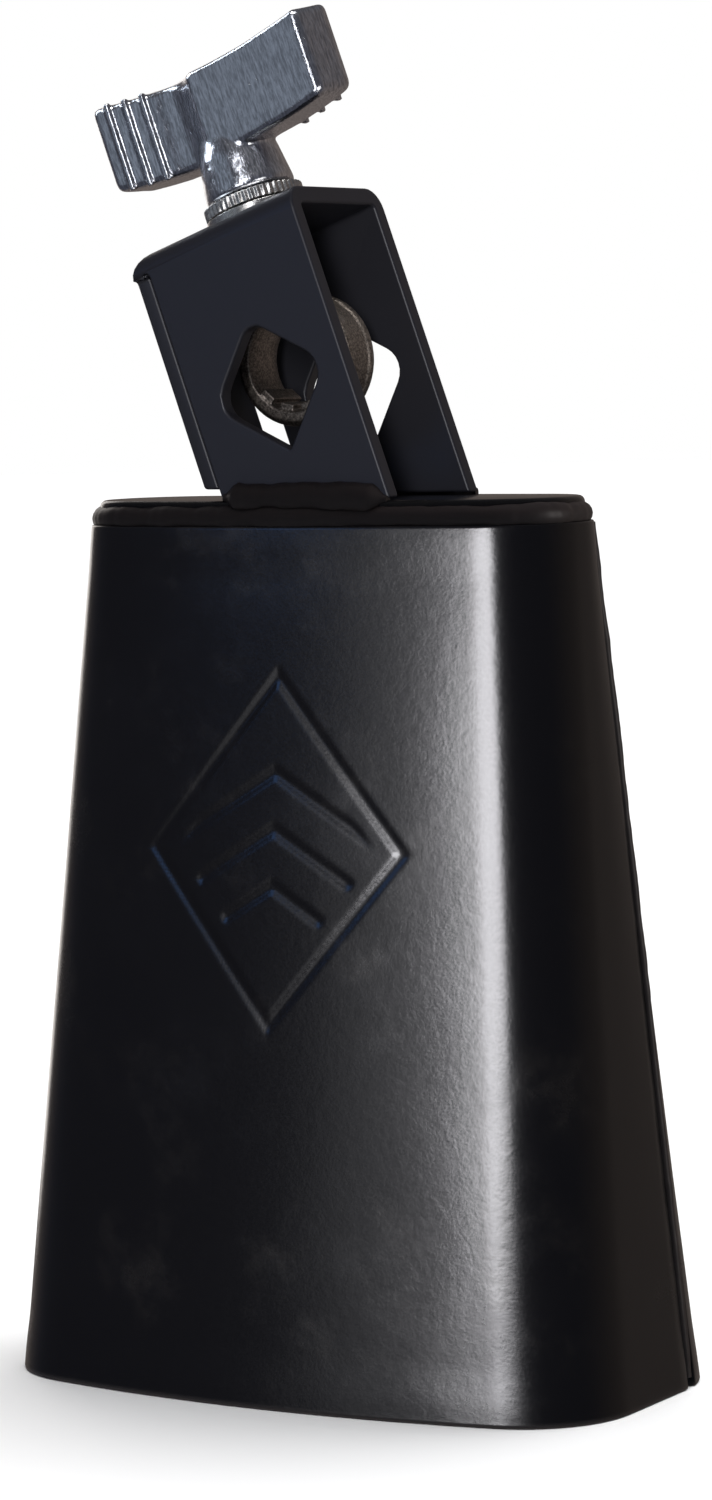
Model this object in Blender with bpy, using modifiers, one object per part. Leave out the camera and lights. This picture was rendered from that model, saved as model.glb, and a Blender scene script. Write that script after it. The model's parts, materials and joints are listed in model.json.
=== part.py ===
"""Cowbell with a folded rod clamp, as an assembly of its separate pieces.

Two pressed half shells and a lid are welded into the bell. A folded bracket stands on the lid and leans to
one side. An eye bolt hangs in the bracket, and the wing nut on top draws it up against a mounting rod.

Units are metres and +Z is up. The origin is the centre of the mouth, whose rim lies on z = 0. X runs across
the wide faces and -Y is the front. The clamp has a frame of its own: x across its legs, y from the front leg
to the rear leg, and z along the lean, from the lid outwards."""

import math

import bmesh
import bpy
from mathutils import Matrix, Vector

MM = 0.001

# Bell
BELL_HEIGHT = 127.0 * MM
SHEET = 1.5 * MM
MOUTH_WIDTH = 98.6 * MM
MOUTH_DEPTH = 55.9 * MM
MOUTH_CROWN = 6.5 * MM
MOUTH_CORNER = 15.8 * MM
CROWN_WIDTH = 78.3 * MM
CROWN_DEPTH = 30.0 * MM
CROWN_CROWN = 4.2 * MM
CROWN_CORNER = 12.0 * MM
SEAM_AT_MOUTH = 10.3 * MM
SEAM_AT_LID = 6.7 * MM
SEAM_BEAD_WIDTH = 1.6 * MM
SEAM_BEAD_PROUD = 0.35 * MM
SEAM_BEAD_LIFT = 1.2 * MM

# Lid
LID_RIM = 3.5 * MM
LID_INSET = 1.0 * MM
LID_EDGE_RADIUS = 0.8 * MM
LID_BEAD_HEIGHT = 1.9 * MM

# Bracket
LEAN = math.radians(19.7)
BRACKET_OFFSET = 2.3 * MM
LEG_WIDTH = 26.2 * MM
LEG_SET_IN = 2.3 * MM
BRACKET_HEIGHT = 42.5 * MM
STRAP = 2.6 * MM
INNER_BEND = 0.7 * MM
FLANGE_SETBACK = 1.0 * MM
FLANGE_DEPTH = 16.8 * MM
FLANGE_CLEARANCE = 1.6 * MM
RELIEF = 0.2 * MM
HOLE_HALF_DIAGONAL = 9.7 * MM
HOLE_HEIGHT = 17.25 * MM
HOLE_OFFSET = 0.25 * MM
HOLE_SIDE_RADIUS = 3.6 * MM
HOLE_TOP_RADIUS = 2.5 * MM
HOLE_FOOT_RADIUS = 0.4 * MM
FOOT_BEAD_HEIGHT = 3.4 * MM
FOOT_BEAD_DEPTH = 1.4 * MM

# Eye bolt
EYE_HEIGHT = 21.0 * MM
EYE_DIAMETER = 18.9 * MM
EYE_BORE = 14.0 * MM
EYE_LENGTH = 8.0 * MM
EYE_FLARE = 0.4 * MM
EYE_STRAIGHT = 0.35
EYE_CHAMFER = 0.7 * MM
EYE_GROOVE = 0.35 * MM
EYE_LIP = 1.7 * MM
GRIP_COUNT = 5
GRIP_PITCH = math.radians(30.0)
GRIP_WIDTH = 2.3 * MM
GRIP_SET_IN = 0.25 * MM
GRIP_RISE = 0.8 * MM
SHANK_DIAMETER = 6.35 * MM
SHANK_REACH = 37.0 * MM
NECK_HEIGHT = 1.1 * MM
NECK_DIAMETER = 9.0 * MM
POINT_CHAMFER = 0.8 * MM

# Washers and wing nut
WASHER_DIAMETER = 15.2 * MM
WASHER_THICKNESS = 1.2 * MM
TOOTHED_DIAMETER = 14.9 * MM
TOOTHED_THICKNESS = 1.7 * MM
TOOTH_COUNT = 48
TOOTH_DEPTH = 0.28 * MM
HUB_BASE_DIAMETER = 13.4 * MM
HUB_TOP_DIAMETER = 11.8 * MM
HUB_HEIGHT = 6.3 * MM
WING_SPAN = 42.0 * MM
WING_HEIGHT = 13.2 * MM
WING_SWEEP = 2.3 * MM
WING_WAIST = 10.0 * MM
WING_FRONT = 4.5 * MM
WING_STEP = 2.3 * MM
WING_EDGE_RADIUS = 0.9 * MM
TIP_SLANT = 2.6 * MM
TIP_RADIUS = 1.2 * MM
RIDGE_PLACE = 1.4 * MM
SCOOP_DEPTH = 0.7 * MM
SCOOP_BEND = 2.2
HUB_CHAMFER = 0.3 * MM
RIB_COUNT = 3
RIB_PITCH = 3.1 * MM
RIB_RADIUS = 0.55 * MM
RIB_OVERRUN = 0.15 * MM
RIB_FIRST = 11.1 * MM

# Fits
CLEARANCE = 0.3 * MM
HOLE_CLEARANCE = 0.5 * MM

BLACK_STEEL = ("black_powder_coat", (0.012, 0.012, 0.014), 0.36, 0.0)
WELD_COAT = ("coated_weld", (0.014, 0.013, 0.013), 0.28, 0.0)
CAST_METAL = ("cast_gunmetal", (0.15, 0.135, 0.125), 0.5, 1.0)
CHROME = ("bright_chrome", (0.78, 0.79, 0.82), 0.12, 1.0)
ZINC = ("zinc_plate", (0.6, 0.6, 0.6), 0.3, 1.0)


def clear_scene():
    for old in list(bpy.data.objects):
        bpy.data.objects.remove(old, do_unlink=True)


def collection(name):
    made = bpy.data.collections.new(name)
    bpy.context.scene.collection.children.link(made)
    return made


def finish(look):
    """The Principled material of a look, which is a name, a colour, a roughness and a metallic value."""
    name, colour, roughness, metallic = look
    if name in bpy.data.materials:
        return bpy.data.materials[name]
    made = bpy.data.materials.new(name)
    made.use_nodes = True
    shader = made.node_tree.nodes["Principled BSDF"]
    shader.inputs["Base Color"].default_value = (*colour, 1.0)
    shader.inputs["Roughness"].default_value = roughness
    shader.inputs["Metallic"].default_value = metallic
    made.diffuse_color = (*colour, 1.0)
    return made


def place(name, bm, home, look=None, matrix=None, smooth=None):
    """Turns a bmesh into an object. Without a look it is a cutter."""
    bmesh.ops.recalc_face_normals(bm, faces=bm.faces[:])
    mesh = bpy.data.meshes.new(name)
    bm.to_mesh(mesh)
    bm.free()
    made = bpy.data.objects.new(name, mesh)
    home.objects.link(made)
    if matrix is not None:
        made.matrix_world = matrix
    if smooth is not None:
        mesh.shade_smooth()
        mesh.set_sharp_from_angle(angle=math.radians(smooth))
    if look is None:
        made.hide_render = True
        made.display_type = "WIRE"
    else:
        mesh.materials.append(finish(look))
    return made


def boolean(target, operation, other):
    made = target.modifiers.new(f"{operation.lower()} {other.name}", "BOOLEAN")
    made.operation = operation
    made.solver = "EXACT"
    made.object = other
    return made


def spread(start, stop, count):
    """Evenly spaced values from start to stop, both ends included."""
    return [start + (stop - start) * i / (count - 1) for i in range(count)]


def arc(centre, radius, start, stop, count):
    """Points of an arc in a plane, by angle in radians."""
    x, y = centre
    return [(x + radius * math.cos(a), y + radius * math.sin(a)) for a in spread(start, stop, count)]


def rounded(corners, segments=6):
    """An outline whose corners, given as (x, y, radius), are replaced by arcs."""
    points = []
    for i, (x, y, radius) in enumerate(corners):
        here = Vector((x, y))
        before = (Vector(corners[i - 1][:2]) - here).normalized()
        after = (Vector(corners[(i + 1) % len(corners)][:2]) - here).normalized()
        if radius <= 0:
            points.append((x, y))
            continue
        half = before.angle(after) / 2
        middle = here + (before + after).normalized() * radius / math.sin(half)
        reach = radius / math.tan(half)
        first, last = here + before * reach - middle, here + after * reach - middle
        sweep = first.angle_signed(last)
        for step in spread(0.0, 1.0, segments + 1):
            turned_by = Matrix.Rotation(-sweep * step, 2)
            points.append(tuple(middle + turned_by @ first))
    return points


def prism(outline, low, high, axis):
    """A bmesh of a flat outline extruded along x, y or z. The outline's values are on the other two axes."""
    order = {"x": (2, 0, 1), "y": (0, 2, 1), "z": (0, 1, 2)}[axis]
    bm = bmesh.new()
    ring = [bm.verts.new([(p[0], p[1], low)[k] for k in order]) for p in outline]
    face = bm.faces.new(ring)
    moved = bmesh.ops.extrude_face_region(bm, geom=[face])
    shift = Vector([(0, 0, high - low)[k] for k in order])
    bmesh.ops.translate(bm, vec=shift, verts=[v for v in moved["geom"] if isinstance(v, bmesh.types.BMVert)])
    return bm


def cylinder(radius, low, high, sides):
    bm = bmesh.new()
    lift = Matrix.Translation((0, 0, (low + high) / 2))
    bmesh.ops.create_cone(
        bm, cap_ends=True, segments=sides, radius1=radius, radius2=radius, depth=high - low, matrix=lift
    )
    return bm


def slab(x, y, z):
    """A box from its lowest and highest value along each axis."""
    bm = bmesh.new()
    size = [b - a for a, b in (x, y, z)]
    middle = Vector([(a + b) / 2 for a, b in (x, y, z)])
    matrix = Matrix.Translation(middle) @ Matrix.Diagonal((*size, 1.0))
    bmesh.ops.create_cube(bm, size=1.0, matrix=matrix)
    return bm


def turned(name, profile, steps, home, look=None, matrix=None, smooth=None):
    """A closed profile of (radius, height) points, outer side first and downwards, turned about z."""
    bm = bmesh.new()
    verts = [bm.verts.new((radius, 0, height)) for radius, height in profile]
    for i, vert in enumerate(verts):
        bm.edges.new((vert, verts[(i + 1) % len(verts)]))
    made = place(name, bm, home, look, matrix)
    screw = made.modifiers.new("turn", "SCREW")
    screw.angle = math.tau
    screw.steps = screw.render_steps = steps
    screw.use_merge_vertices = True
    screw.merge_threshold = 0.00001
    screw.use_smooth_shade = smooth is not None
    return made


# ---- Bell -------------------------------------------------------------------------------------------------


class Section:
    """The bell's outline at one height: crowned long sides, round corners and straight narrow sides."""

    def __init__(self, height):
        up = height / BELL_HEIGHT
        self.half_width = (MOUTH_WIDTH + (CROWN_WIDTH - MOUTH_WIDTH) * up) / 2
        self.half_depth = (MOUTH_DEPTH + (CROWN_DEPTH - MOUTH_DEPTH) * up) / 2
        self.corner = MOUTH_CORNER + (CROWN_CORNER - MOUTH_CORNER) * up
        crown = MOUTH_CROWN + (CROWN_CROWN - MOUTH_CROWN) * up
        self.face_radius = (self.half_width**2 + crown**2) / (2 * crown)
        self.face_centre = self.face_radius - self.half_depth
        self.corner_x = self.half_width - self.corner
        reach = self.face_radius - self.corner
        self.side = math.sqrt(reach**2 - self.corner_x**2) - self.face_centre
        self.face_angle = math.asin(self.corner_x / reach)
        self.seam = SEAM_AT_MOUTH + (SEAM_AT_LID - SEAM_AT_MOUTH) * up

    def on_face(self, angle, inset):
        radius = self.face_radius - inset
        return radius * math.sin(angle), self.face_centre - radius * math.cos(angle)

    def on_corner(self, angle, inset):
        radius = self.corner - inset
        return self.corner_x + radius * math.sin(angle), -self.side - radius * math.cos(angle)

    def seam_length(self):
        """Distance along the narrow side from the front corner's end to the seam."""
        if self.seam <= self.side:
            return self.side + self.seam
        return 2 * self.side + self.corner * math.asin((self.seam - self.side) / self.corner)

    def along_side(self, length, inset):
        """The point that far along the narrow side and on round the rear corner, and the angle it faces."""
        if length <= 2 * self.side:
            return (self.half_width - inset, length - self.side), 0.0
        angle = (length - 2 * self.side) / self.corner
        x, y = self.on_corner(math.pi / 2 - angle, inset)
        return (x, -y), angle

    def corner_end(self):
        """Distance along the narrow side at which the rear corner meets the rear face."""
        return 2 * self.side + self.corner * (math.pi / 2 - self.face_angle)

    def front_half(self, inset, trim):
        """From the middle of the front face to the right seam."""
        face = [self.on_face(a, inset) for a in spread(0, self.face_angle, 9)]
        corner = [self.on_corner(a, inset) for a in spread(self.face_angle, math.pi / 2, 10)]
        side = [self.along_side(s, inset)[0] for s in spread(0, self.seam_length() - trim, 6)]
        return face + corner[1:] + side[1:]

    def rear_half(self, inset, trim):
        """From the right seam to the middle of the rear face."""
        start = self.seam_length() + trim
        side = [self.along_side(s, inset)[0] for s in spread(start, self.corner_end(), 12)]
        face = [(x, -y) for x, y in (self.on_face(a, inset) for a in spread(self.face_angle, 0, 9))]
        return side + face[1:]

    def whole(self, inset):
        """The full outline, anticlockwise from the middle of the front."""
        right = self.front_half(inset, 0.0) + self.rear_half(inset, 0.0)[1:]
        left = [(-x, y) for x, y in right[-2:0:-1]]
        return right + left


def grid_faces(bm, rows, wrap=False):
    """Quads between neighbouring rows of vertices."""
    for lower, upper in zip(rows, rows[1:]):
        count = len(lower)
        for i in range(count if wrap else count - 1):
            j = (i + 1) % count
            bm.faces.new((lower[i], lower[j], upper[j], upper[i]))


def half_shell(name, path, home):
    """A wall lofted from the mouth to the lid's joint. path gives one section's points from seam to seam."""
    bm = bmesh.new()
    heights = spread(0.0, BELL_HEIGHT - LID_RIM, 8)
    skins = []
    for inset in (0.0, SHEET):
        skins.append([[bm.verts.new((x, y, z)) for x, y in path(Section(z), inset)] for z in heights])
    outer, inner = skins
    grid_faces(bm, outer)
    grid_faces(bm, inner)
    for row in (0, -1):
        grid_faces(bm, [outer[row], inner[row]])
    for end in (0, -1):
        grid_faces(bm, [[row[end] for row in outer], [row[end] for row in inner]])
    return place(name, bm, home, BLACK_STEEL, smooth=35)


def front_path(section, inset):
    right = section.front_half(inset, SEAM_BEAD_WIDTH / 2 + CLEARANCE)
    return [(-x, y) for x, y in right[:0:-1]] + right


def rear_path(section, inset):
    right = section.rear_half(inset, SEAM_BEAD_WIDTH / 2 + CLEARANCE)
    return right + [(-x, y) for x, y in right[-2::-1]]


def outline_sweep(name, profile, home, look, loop):
    """A profile of (inset, height) points carried round the bell's outline. A loop is a closed bead."""
    bm = bmesh.new()
    rows = [[bm.verts.new((x, y, z)) for x, y in Section(z).whole(inset)] for inset, z in profile]
    if loop:
        rows.append(rows[0])
    else:
        bm.faces.new(rows[0])
        bm.faces.new(rows[-1])
    grid_faces(bm, rows, wrap=True)
    return place(name, bm, home, look, smooth=35)


def end_cap(home):
    """A shallow lid with a rim, set in from the walls and resting on their upper edge."""
    foot = BELL_HEIGHT - LID_RIM + CLEARANCE
    radius = LID_EDGE_RADIUS
    top = [
        (LID_INSET + radius * (1 - math.sin(a)), BELL_HEIGHT - radius * (1 - math.cos(a)))
        for a in spread(0, math.pi / 2, 5)
    ]
    inner = LID_INSET + SHEET
    under = [(LID_INSET, foot), (inner, foot), (inner, BELL_HEIGHT - SHEET)]
    return outline_sweep("end_cap", top + under, home, BLACK_STEEL, loop=False)


def cap_weld(home):
    """The fillet bead on the step between the walls and the lid."""
    foot = BELL_HEIGHT - LID_RIM + CLEARANCE
    depth = LID_INSET - CLEARANCE
    bulge = [
        (depth * (1 - math.cos(a)), foot + LID_BEAD_HEIGHT * math.sin(a)) for a in spread(0, math.pi / 2, 6)
    ]
    return outline_sweep("cap_weld", bulge + [(depth, foot)], home, WELD_COAT, loop=True)


def seam_weld(name, side, home):
    """The bead that fills one seam, from just above the rim to the lid's joint."""
    bm = bmesh.new()
    rows = []
    for z in spread(SEAM_BEAD_LIFT, BELL_HEIGHT - LID_RIM, 10):
        section = Section(z)
        (x, y), angle = section.along_side(section.seam_length(), SHEET / 2)
        out = Vector((math.cos(angle), math.sin(angle)))
        along = Vector((-math.sin(angle), math.cos(angle)))
        ring = []
        for turn in spread(0, math.tau, 13)[:-1]:
            reach = out * (SHEET / 2 + SEAM_BEAD_PROUD) * math.cos(turn)
            point = Vector((x, y)) + reach + along * (SEAM_BEAD_WIDTH / 2) * math.sin(turn)
            ring.append(bm.verts.new((side * point.x, point.y, z)))
        rows.append(ring)
    grid_faces(bm, rows, wrap=True)
    bm.faces.new(rows[0])
    bm.faces.new(rows[-1])
    return place(name, bm, home, WELD_COAT, smooth=35)


# ---- Bracket ----------------------------------------------------------------------------------------------

CLAMP = Matrix.Translation((BRACKET_OFFSET, 0, BELL_HEIGHT)) @ Matrix.Rotation(-LEAN, 4, "Y")
BRACKET_DEPTH = CROWN_DEPTH - 2 * LEG_SET_IN
OUTER_BEND = INNER_BEND + STRAP
LEG_REACH = LEG_WIDTH / 2 * math.tan(LEAN) + 4 * MM


def channel_outline(inset):
    """The bracket's arch across the legs, as (y, z), at one depth into the strap, from foot to foot."""
    half = BRACKET_DEPTH / 2 - inset
    top = BRACKET_HEIGHT - inset
    radius = OUTER_BEND - inset
    right = arc((half - radius, top - radius), radius, 0, math.pi / 2, 7)
    left = arc((radius - half, top - radius), radius, math.pi / 2, math.pi, 7)
    return [(half, -LEG_REACH)] + right + left + [(-half, -LEG_REACH)]


def side_outline(edge, inset, right):
    """The bracket seen from the front, as (x, z): a straight band with one bend at its upper left."""
    top = BRACKET_HEIGHT - inset
    radius = OUTER_BEND - inset
    bend = arc((edge + radius, top - radius), radius, math.pi / 2, math.pi, 7)
    return [(right, top)] + bend + [(edge, -2 * LEG_REACH), (right, -2 * LEG_REACH)]


def lid_line(x, clearance):
    """Height in the clamp's frame of a level line that clears the lid."""
    return clearance / math.cos(LEAN) - x * math.tan(LEAN)


def hole_outline(centre):
    """A square hole stood on its corner: a sharp foot, a blunt top and wide side corners."""
    x, z = centre
    reach = HOLE_HALF_DIAGONAL
    return rounded(
        [
            (x, z - reach, HOLE_FOOT_RADIUS),
            (x + reach, z, HOLE_SIDE_RADIUS),
            (x, z + reach, HOLE_TOP_RADIUS),
            (x - reach, z, HOLE_SIDE_RADIUS),
        ]
    )


def clamp_bracket(home, cutters):
    """One folded strap: front and rear legs, a top plate and the side flange, cut level with the lid."""
    half = LEG_WIDTH / 2
    inner = -half - CLEARANCE
    outer = inner - STRAP
    front, back = -BRACKET_DEPTH / 2, BRACKET_DEPTH / 2
    far = 2 * BRACKET_DEPTH

    def cut(target, name, bm):
        return boolean(target, "DIFFERENCE", place(name, bm, cutters, None, CLAMP))

    bracket = place(
        "clamp_bracket", prism(channel_outline(0.0), outer, half, "x"), home, BLACK_STEEL, CLAMP, smooth=35
    )
    band = prism(side_outline(outer, 0.0, 2 * half), -far, far, "y")
    band = place("side bend", band, cutters, None, CLAMP)
    boolean(bracket, "INTERSECT", band)

    inside = place(
        "inside", prism(channel_outline(STRAP), outer, 2 * half, "x"), cutters, None, CLAMP
    )
    inside_band = place(
        "inside bend", prism(side_outline(inner, STRAP, 3 * half), -far, far, "y"), cutters, None, CLAMP
    )
    boolean(inside, "INTERSECT", inside_band)
    boolean(bracket, "DIFFERENCE", inside)

    relief = BRACKET_HEIGHT - STRAP - INNER_BEND
    corner = (2 * front, front + STRAP + RELIEF)
    cut(bracket, "corner slot", slab((inner - RELIEF, -half), corner, (-far, relief)))
    setback = (2 * front, front + FLANGE_SETBACK)
    cut(bracket, "flange setback", slab((-far, inner - RELIEF / 2), setback, (-far, relief - RELIEF)))
    rear_gap = (front + FLANGE_SETBACK + FLANGE_DEPTH, far)
    cut(bracket, "flange end", slab((-far, -half), rear_gap, (-far, far)))
    cut(bracket, "rod way", prism(hole_outline((HOLE_OFFSET, HOLE_HEIGHT)), -far, far, "y"))
    low, high = BRACKET_HEIGHT - 2 * STRAP, BRACKET_HEIGHT + STRAP
    cut(bracket, "shank hole", cylinder(SHANK_DIAMETER / 2 + HOLE_CLEARANCE, low, high, 32))
    feet = [
        (-far, -far),
        (far, -far),
        (far, lid_line(far, CLEARANCE)),
        (inner, lid_line(inner, CLEARANCE)),
        (inner, lid_line(inner, FLANGE_CLEARANCE)),
        (-far, lid_line(-far, FLANGE_CLEARANCE)),
    ]
    cut(bracket, "feet", prism(feet, -far, far, "y"))
    return bracket


def foot_weld(name, side, home):
    """A fillet bead along the outer face of one leg's foot, with round ends."""
    foot = BELL_HEIGHT + CLEARANCE
    face = side * (BRACKET_DEPTH / 2 + CLEARANCE)
    half = LEG_WIDTH / 2 / math.cos(LEAN)
    bm = bmesh.new()
    rows = []
    for along in spread(-1.0, 1.0, 21):
        swell = math.sqrt(max(1 - abs(along) ** 6, 0.0)) * 0.75 + 0.25
        x = BRACKET_OFFSET + along * half
        ring = [(0.0, 0.0)] + [
            (FOOT_BEAD_DEPTH * math.cos(a), FOOT_BEAD_HEIGHT * math.sin(a))
            for a in spread(0, math.pi / 2, 6)
        ]
        rows.append([bm.verts.new((x, face + side * swell * y, foot + swell * z)) for y, z in ring])
    grid_faces(bm, rows, wrap=True)
    bm.faces.new(rows[0])
    bm.faces.new(rows[-1])
    return place(name, bm, home, WELD_COAT, smooth=50)


# ---- Eye bolt ---------------------------------------------------------------------------------------------


def eye_bolt(home, cutters):
    """A cast ring with a flared bore, grip ridges along its lower half, a neck and a shank."""
    radius, bore, half = EYE_DIAMETER / 2, EYE_BORE / 2, EYE_LENGTH / 2
    outside = [
        (radius - EYE_CHAMFER, half),
        (radius, half - EYE_CHAMFER),
        (radius, half - EYE_LIP),
        (radius - EYE_GROOVE, half - EYE_LIP - EYE_GROOVE),
    ]
    straight = EYE_STRAIGHT * half
    flare = [(bore + EYE_FLARE * t**2, straight + (half - straight) * t) for t in spread(0.0, 1.0, 5)]
    profile = outside + [(r, -z) for r, z in outside[::-1]]
    profile += [(r, -z) for r, z in flare[::-1]] + flare
    centre = CLAMP @ Matrix.Translation((0, 0, EYE_HEIGHT))
    eye = turned(
        "eye_bolt", profile, 48, home, CAST_METAL, centre @ Matrix.Rotation(math.pi / 2, 4, "X"), smooth=35
    )

    ridges = bmesh.new()
    for i in range(GRIP_COUNT):
        turn = Matrix.Rotation(math.pi + (i - (GRIP_COUNT - 1) / 2) * GRIP_PITCH, 4, "Y")
        depth = 2 * GRIP_RISE
        lift = Matrix.Translation((0, 0, bore - GRIP_RISE + depth / 2))
        size = Matrix.Diagonal((GRIP_WIDTH, EYE_LENGTH - 2 * GRIP_SET_IN, depth, 1.0))
        bmesh.ops.create_cube(ridges, size=1.0, matrix=turn @ lift @ size)
    boolean(eye, "UNION", place("grip ridges", ridges, cutters, None, centre))

    shank_radius = SHANK_DIAMETER / 2
    wall_middle = (radius + bore) / 2
    top = SHANK_REACH
    stem_profile = [
        (0.0, top),
        (shank_radius - POINT_CHAMFER, top),
        (shank_radius, top - POINT_CHAMFER),
        (shank_radius, radius + NECK_HEIGHT),
        (NECK_DIAMETER / 2, radius - NECK_HEIGHT),
        (NECK_DIAMETER / 2 * 0.8, wall_middle),
        (0.0, wall_middle),
    ]
    bm = bmesh.new()
    verts = [bm.verts.new((r, 0, z)) for r, z in stem_profile]
    for one, two in zip(verts, verts[1:]):
        bm.edges.new((one, two))
    stem = place("shank", bm, cutters, None, centre)
    screw = stem.modifiers.new("turn", "SCREW")
    screw.angle = math.tau
    screw.steps = screw.render_steps = 32
    screw.use_merge_vertices = True
    screw.merge_threshold = 0.00001
    boolean(eye, "UNION", stem)
    return eye


# ---- Washers and wing nut ---------------------------------------------------------------------------------

BORE_RADIUS = SHANK_DIAMETER / 2 + CLEARANCE
WASHER_FOOT = BRACKET_HEIGHT + CLEARANCE
TOOTHED_FOOT = WASHER_FOOT + WASHER_THICKNESS + CLEARANCE
NUT_FOOT = TOOTHED_FOOT + TOOTHED_THICKNESS + CLEARANCE
WING_FOOT = NUT_FOOT + HUB_HEIGHT


def flat_washer(home):
    radius, top = WASHER_DIAMETER / 2, WASHER_FOOT + WASHER_THICKNESS
    profile = [(radius, top), (radius, WASHER_FOOT), (BORE_RADIUS, WASHER_FOOT), (BORE_RADIUS, top)]
    return turned("flat_washer", profile, 48, home, ZINC, CLAMP, smooth=35)


def lock_washer(home, cutters):
    """A washer whose rim is cut into fine teeth."""
    outline = []
    for i in range(2 * TOOTH_COUNT):
        radius = TOOTHED_DIAMETER / 2 - (i % 2) * TOOTH_DEPTH
        angle = math.pi * i / TOOTH_COUNT
        outline.append((radius * math.cos(angle), radius * math.sin(angle)))
    top = TOOTHED_FOOT + TOOTHED_THICKNESS
    washer = place("lock_washer", prism(outline, TOOTHED_FOOT, top, "z"), home, ZINC, CLAMP)
    bore = cylinder(BORE_RADIUS, TOOTHED_FOOT - MM, top + MM, 32)
    boolean(washer, "DIFFERENCE", place("lock washer bore", bore, cutters, None, CLAMP))
    return washer


def wing_plan():
    """The wing along the shank, as (x, y). Each lobe has a flush face and a stepped, scooped thumb face."""
    tip = WING_SPAN / 2
    step = WING_FRONT - WING_STEP
    start, ridge = RIB_FIRST - RIB_PITCH / 2, WING_WAIST / 2
    corners = [(-tip, -step, TIP_RADIUS)]
    for t in spread(0.0, 1.0, 8):
        hollow = SCOOP_DEPTH * math.sin(math.pi * t)
        x = -start + (start - RIDGE_PLACE) * t
        corners.append((x, -step - (ridge - step) * t**SCOOP_BEND + hollow, 0.0))
    corners.append((tip - TIP_SLANT, -WING_FRONT, TIP_RADIUS))
    return rounded(corners + [(-x, -y, radius) for x, y, radius in corners], segments=4)


def sweep(x):
    """How far the wing has risen at a distance from the shank."""
    return WING_SWEEP * (2 * x / WING_SPAN) ** 2


def wing_side():
    """The wing seen from the front, as (x, z): a band of even height, swept up towards its tips."""
    tip = WING_SPAN / 2 + MM
    lower = [(x, WING_FOOT + sweep(x)) for x in spread(-tip, tip, 17)]
    return lower + [(x, z + WING_HEIGHT) for x, z in lower[::-1]]


def thumb_ribs():
    """Upright ribs on both thumb faces, each running over the wing's lower and upper edge."""
    bm = bmesh.new()
    face = WING_FRONT - WING_STEP
    for i in range(2 * RIB_COUNT):
        side = (-1) ** i
        x = RIB_FIRST + (i // 2) * RIB_PITCH
        middle = WING_FOOT + sweep(x) + WING_HEIGHT / 2
        lift = Matrix.Translation((side * x, side * face, middle))
        reach = WING_HEIGHT + 2 * RIB_OVERRUN
        bmesh.ops.create_cone(
            bm, cap_ends=True, segments=12, radius1=RIB_RADIUS, radius2=RIB_RADIUS, depth=reach, matrix=lift
        )
    return bm


def wing_nut(home, cutters):
    """A round tapered hub under an S-shaped wing, bored through for the shank."""
    low, high = WING_FOOT - 2 * MM, WING_FOOT + WING_HEIGHT + WING_SWEEP + 2 * MM
    nut = place("wing_nut", prism(wing_plan(), low, high, "z"), home, CHROME, CLAMP, smooth=35)
    side = place("wing outline", prism(wing_side(), -WING_SPAN, WING_SPAN, "y"), cutters, None, CLAMP)
    boolean(nut, "INTERSECT", side)
    bevel = nut.modifiers.new("cast edges", "BEVEL")
    bevel.width = WING_EDGE_RADIUS
    bevel.segments = 2
    bevel.limit_method = "ANGLE"
    bevel.angle_limit = math.radians(50)
    bevel.use_clamp_overlap = False
    boolean(nut, "UNION", place("thumb ribs", thumb_ribs(), cutters, None, CLAMP))

    base, neck = HUB_BASE_DIAMETER / 2, HUB_TOP_DIAMETER / 2
    root = WING_FOOT + WING_HEIGHT / 3
    profile = [
        (neck * 0.75, root),
        (neck, WING_FOOT),
        (base, NUT_FOOT + 2 * HUB_CHAMFER),
        (base - HUB_CHAMFER, NUT_FOOT),
        (BORE_RADIUS * 0.5, NUT_FOOT),
        (BORE_RADIUS * 0.5, root),
    ]
    boolean(nut, "UNION", turned("hub", profile, 40, cutters, None, CLAMP))
    bore = cylinder(BORE_RADIUS, NUT_FOOT - MM, high + MM, 32)
    boolean(nut, "DIFFERENCE", place("nut bore", bore, cutters, None, CLAMP))
    return nut


def main():
    clear_scene()
    home = collection("Cowbell")
    cutters = collection("Cutters")
    half_shell("front_shell", front_path, home)
    half_shell("rear_shell", rear_path, home)
    end_cap(home)
    cap_weld(home)
    seam_weld("seam_weld_left", -1, home)
    seam_weld("seam_weld_right", 1, home)
    clamp_bracket(home, cutters)
    foot_weld("bracket_weld_front", -1, home)
    foot_weld("bracket_weld_rear", 1, home)
    eye_bolt(home, cutters)
    flat_washer(home)
    lock_washer(home, cutters)
    wing_nut(home, cutters)


if __name__ == "__main__":
    main()
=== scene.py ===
"""Looks for a cowbell with a rod clamp.

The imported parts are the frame. Each operator below builds one piece, or one group of like pieces, over the
part that it stands for, and the stage operator adds the floor, the lights and the camera. Sizes are in
metres. The bell stands on its mouth, -Y is its front, and the clamp leans to the left."""

import json
import math

import bmesh
import bpy
from bpy.props import FloatProperty, FloatVectorProperty, IntProperty, PointerProperty
from mathutils import Matrix, Vector

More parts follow.
